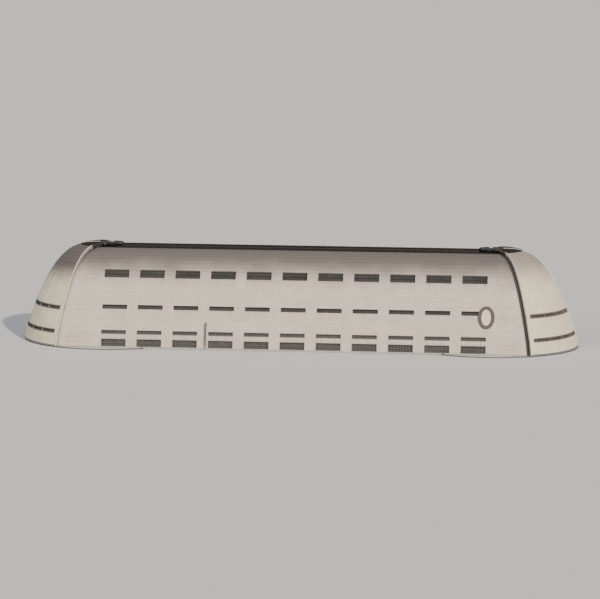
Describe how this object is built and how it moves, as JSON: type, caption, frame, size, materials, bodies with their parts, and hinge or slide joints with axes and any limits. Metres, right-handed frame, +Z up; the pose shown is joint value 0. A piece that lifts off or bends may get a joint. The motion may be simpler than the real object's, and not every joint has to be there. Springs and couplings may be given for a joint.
{
  "type": "giant airship hangar, scale model at 1:10",
  "caption": "Long barrel-shaped airship hangar, scale model at 1:10, with orange peel door leaves that swing on ridge pins and roll on curved runways.",
  "frame": {"origin": "middle of the footprint, at the underside of the floor slab and the door runways", "axes": "+Z up, +X along the hangar towards the end that is nearer in the picture, -Y towards the side that faces the camera"},
  "size_m": [34.59, 10.96, 6.168],
  "materials": {
    "wall_cladding": "satin cream-white paint on lapped sheet",
    "door_cladding": "satin cream-white paint on lapped sheet",
    "roofing": "matt dark bituminous roofing",
    "cowl_metal": "satin pale grey paint",
    "glazing": "dark wired glass, slightly dusty",
    "concrete": "matt float-finished concrete",
    "runway": "worn rail steel on concrete",
    "steelwork": "satin grey structural paint"
  },
  "bodies": {
    "building": {"floor_slab": "concrete", "wall_front": "wall_cladding", "roof_eaves_front": "wall_cladding", "roof_slope_front": "wall_cladding", "roof_shoulder_front": "wall_cladding", "roof_brow_front": "wall_cladding", "wall_back": "wall_cladding", "roof_eaves_back": "wall_cladding", "roof_slope_back": "wall_cladding", "roof_shoulder_back": "wall_cladding", "roof_brow_back": "wall_cladding", "crown_roof": "roofing", "ridge_monitor": "roofing", "glazing_upper_front": "glazing", "glazing_middle_front": "glazing", "glazing_lower_front": "glazing", "glazing_ground_front": "glazing", "glazing_upper_back": "glazing", "glazing_middle_back": "glazing", "glazing_lower_back": "glazing", "glazing_ground_back": "glazing", "end_arch_left": "steelwork", "pin_cap_left": "roofing", "pin_cowl_left": "cowl_metal", "door_runway_left": "runway", "end_arch_right": "steelwork", "pin_cap_right": "roofing", "pin_cowl_right": "cowl_metal", "door_runway_right": "runway"},
    "door_left_front": {"door_leaf_left_front": "door_cladding", "door_glazing_high_left_front": "glazing", "door_glazing_low_left_front": "glazing"},
    "wheels_leading_left_front": {"wheelset_leading_left_front": "steelwork"},
    "wheels_trailing_left_front": {"wheelset_trailing_left_front": "steelwork"},
    "door_left_back": {"door_leaf_left_back": "door_cladding", "door_glazing_high_left_back": "glazing", "door_glazing_low_left_back": "glazing"},
    "wheels_leading_left_back": {"wheelset_leading_left_back": "steelwork"},
    "wheels_trailing_left_back": {"wheelset_trailing_left_back": "steelwork"},
    "door_right_front": {"door_leaf_right_front": "door_cladding", "door_glazing_high_right_front": "glazing", "door_glazing_low_right_front": "glazing"},
    "wheels_leading_right_front": {"wheelset_leading_right_front": "steelwork"},
    "wheels_trailing_right_front": {"wheelset_trailing_right_front": "steelwork"},
    "door_right_back": {"door_leaf_right_back": "door_cladding", "door_glazing_high_right_back": "glazing", "door_glazing_low_right_back": "glazing"},
    "wheels_leading_right_back": {"wheelset_leading_right_back": "steelwork"},
    "wheels_trailing_right_back": {"wheelset_trailing_right_back": "steelwork"}
  },
  "joints": [
    {"name": "door_left_front_swing", "type": "hinge", "parent": "building", "child": "door_left_front", "pos_m": [-11.815, 0, 5.9], "axis": [0, 0, 1], "range_deg": [0, 57.5]},
    {"name": "wheels_leading_left_front_roll", "type": "hinge", "parent": "door_left_front", "child": "wheels_leading_left_front", "pos_m": [-17.06374, -1.11565, 0.1004], "axis": [-0.9781, -0.2079, 0], "continuous": true},
    {"name": "wheels_trailing_left_front_roll", "type": "hinge", "parent": "door_left_front", "child": "wheels_trailing_left_front", "pos_m": [-15.40555, -3.98772, 0.1004], "axis": [-0.6691, -0.7431, 0], "continuous": true},
    {"name": "door_left_back_swing", "type": "hinge", "parent": "building", "child": "door_left_back", "pos_m": [-11.815, 0, 5.9], "axis": [0, 0, -1], "range_deg": [0, 57.5]},
    {"name": "wheels_leading_left_back_roll", "type": "hinge", "parent": "door_left_back", "child": "wheels_leading_left_back", "pos_m": [-17.06374, 1.11565, 0.1004], "axis": [-0.9781, 0.2079, 0], "continuous": true},
    {"name": "wheels_trailing_left_back_roll", "type": "hinge", "parent": "door_left_back", "child": "wheels_trailing_left_back", "pos_m": [-15.40555, 3.98772, 0.1004], "axis": [-0.6691, 0.7431, 0], "continuous": true},
    {"name": "door_right_front_swing", "type": "hinge", "parent": "building", "child": "door_right_front", "pos_m": [11.815, 0, 5.9], "axis": [0, 0, -1], "range_deg": [0, 57.5]},
    {"name": "wheels_leading_right_front_roll", "type": "hinge", "parent": "door_right_front", "child": "wheels_leading_right_front", "pos_m": [17.06374, -1.11565, 0.1004], "axis": [0.9781, -0.2079, 0], "continuous": true},
    {"name": "wheels_trailing_right_front_roll", "type": "hinge", "parent": "door_right_front", "child": "wheels_trailing_right_front", "pos_m": [15.40555, -3.98772, 0.1004], "axis": [0.6691, -0.7431, 0], "continuous": true},
    {"name": "door_right_back_swing", "type": "hinge", "parent": "building", "child": "door_right_back", "pos_m": [11.815, 0, 5.9], "axis": [0, 0, 1], "range_deg": [0, 57.5]},
    {"name": "wheels_leading_right_back_roll", "type": "hinge", "parent": "door_right_back", "child": "wheels_leading_right_back", "pos_m": [17.06374, 1.11565, 0.1004], "axis": [0.9781, 0.2079, 0], "continuous": true},
    {"name": "wheels_trailing_right_back_roll", "type": "hinge", "parent": "door_right_back", "child": "wheels_trailing_right_back", "pos_m": [15.40555, 3.98772, 0.1004], "axis": [0.6691, 0.7431, 0], "continuous": true}
  ]
}
